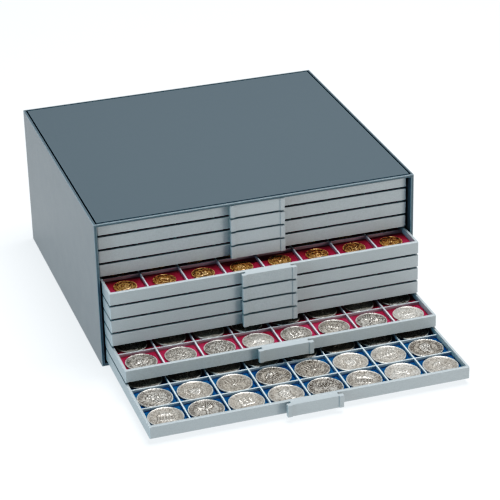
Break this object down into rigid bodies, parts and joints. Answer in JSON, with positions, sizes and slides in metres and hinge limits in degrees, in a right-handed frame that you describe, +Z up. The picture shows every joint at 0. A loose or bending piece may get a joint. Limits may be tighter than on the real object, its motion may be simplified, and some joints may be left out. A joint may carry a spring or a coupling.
{
  "type": "coin collector cabinet",
  "caption": "Low open-fronted cabinet of shallow drawers that slide on ledges; each drawer has a felt floor, a grid of square cells for coins and a grip plate.",
  "frame": {"origin": "centre of the case's underside, on the surface that it stands on", "axes": "+X to the right as seen from the front, +Y from the front to the back, +Z up; drawers pull out along -Y"},
  "size_m": [0.38, 0.5471, 0.178],
  "materials": {
    "case_plastic": "fine satin grain, slate blue-grey",
    "drawer_plastic": "smooth satin, light grey",
    "red_felt": "short-pile felt, crimson",
    "blue_felt": "short-pile felt, blue",
    "gold": "struck, satin",
    "silver": "struck, toned"
  },
  "bodies": {
    "case": {"case_top": "case_plastic", "case_base": "case_plastic", "case_left_wall": "case_plastic", "case_right_wall": "case_plastic", "case_back": "case_plastic", "left_ledges": "case_plastic", "right_ledges": "case_plastic"},
    "drawer_1": {"drawer_1_tray": "drawer_plastic", "drawer_1_handle": "drawer_plastic", "drawer_1_liner": "red_felt", "drawer_1_dividers": "drawer_plastic"},
    "drawer_2": {"drawer_2_tray": "drawer_plastic", "drawer_2_handle": "drawer_plastic", "drawer_2_liner": "red_felt", "drawer_2_dividers": "drawer_plastic"},
    "drawer_3": {"drawer_3_tray": "drawer_plastic", "drawer_3_handle": "drawer_plastic", "drawer_3_liner": "red_felt", "drawer_3_dividers": "drawer_plastic"},
    "drawer_4": {"drawer_4_tray": "drawer_plastic", "drawer_4_handle": "drawer_plastic", "drawer_4_liner": "red_felt", "drawer_4_dividers": "drawer_plastic"},
    "drawer_5": {"drawer_5_tray": "drawer_plastic", "drawer_5_handle": "drawer_plastic", "drawer_5_liner": "red_felt", "drawer_5_dividers": "drawer_plastic", "drawer_5_coins": "gold"},
    "drawer_6": {"drawer_6_tray": "drawer_plastic", "drawer_6_handle": "drawer_plastic", "drawer_6_liner": "red_felt", "drawer_6_dividers": "drawer_plastic"},
    "drawer_7": {"drawer_7_tray": "drawer_plastic", "drawer_7_handle": "drawer_plastic", "drawer_7_liner": "red_felt", "drawer_7_dividers": "drawer_plastic"},
    "drawer_8": {"drawer_8_tray": "drawer_plastic", "drawer_8_handle": "drawer_plastic", "drawer_8_liner": "red_felt", "drawer_8_dividers": "drawer_plastic"},
    "drawer_9": {"drawer_9_tray": "drawer_plastic", "drawer_9_handle": "drawer_plastic", "drawer_9_liner": "red_felt", "drawer_9_dividers": "drawer_plastic", "drawer_9_coins": "silver"},
    "drawer_10": {"drawer_10_tray": "drawer_plastic", "drawer_10_handle": "drawer_plastic", "drawer_10_liner": "blue_felt", "drawer_10_dividers": "drawer_plastic", "drawer_10_coins": "silver"}
  },
  "joints": [
    {"name": "drawer_1_slide", "type": "slide", "parent": "case", "child": "drawer_1", "axis": [0, -1, 0], "range_m": [0, 0.25]},
    {"name": "drawer_2_slide", "type": "slide", "parent": "case", "child": "drawer_2", "axis": [0, -1, 0], "range_m": [0, 0.25]},
    {"name": "drawer_3_slide", "type": "slide", "parent": "case", "child": "drawer_3", "axis": [0, -1, 0], "range_m": [0, 0.25]},
    {"name": "drawer_4_slide", "type": "slide", "parent": "case", "child": "drawer_4", "axis": [0, -1, 0], "range_m": [0, 0.25]},
    {"name": "drawer_5_slide", "type": "slide", "parent": "case", "child": "drawer_5", "axis": [0, -1, 0], "range_m": [-0.0394, 0.2106]},
    {"name": "drawer_6_slide", "type": "slide", "parent": "case", "child": "drawer_6", "axis": [0, -1, 0], "range_m": [-0.0394, 0.2106]},
    {"name": "drawer_7_slide", "type": "slide", "parent": "case", "child": "drawer_7", "axis": [0, -1, 0], "range_m": [-0.0394, 0.2106]},
    {"name": "drawer_8_slide", "type": "slide", "parent": "case", "child": "drawer_8", "axis": [0, -1, 0], "range_m": [-0.0394, 0.2106]},
    {"name": "drawer_9_slide", "type": "slide", "parent": "case", "child": "drawer_9", "axis": [0, -1, 0], "range_m": [-0.0944, 0.1556]},
    {"name": "drawer_10_slide", "type": "slide", "parent": "case", "child": "drawer_10", "axis": [0, -1, 0], "range_m": [-0.1896, 0.0604]}
  ]
}
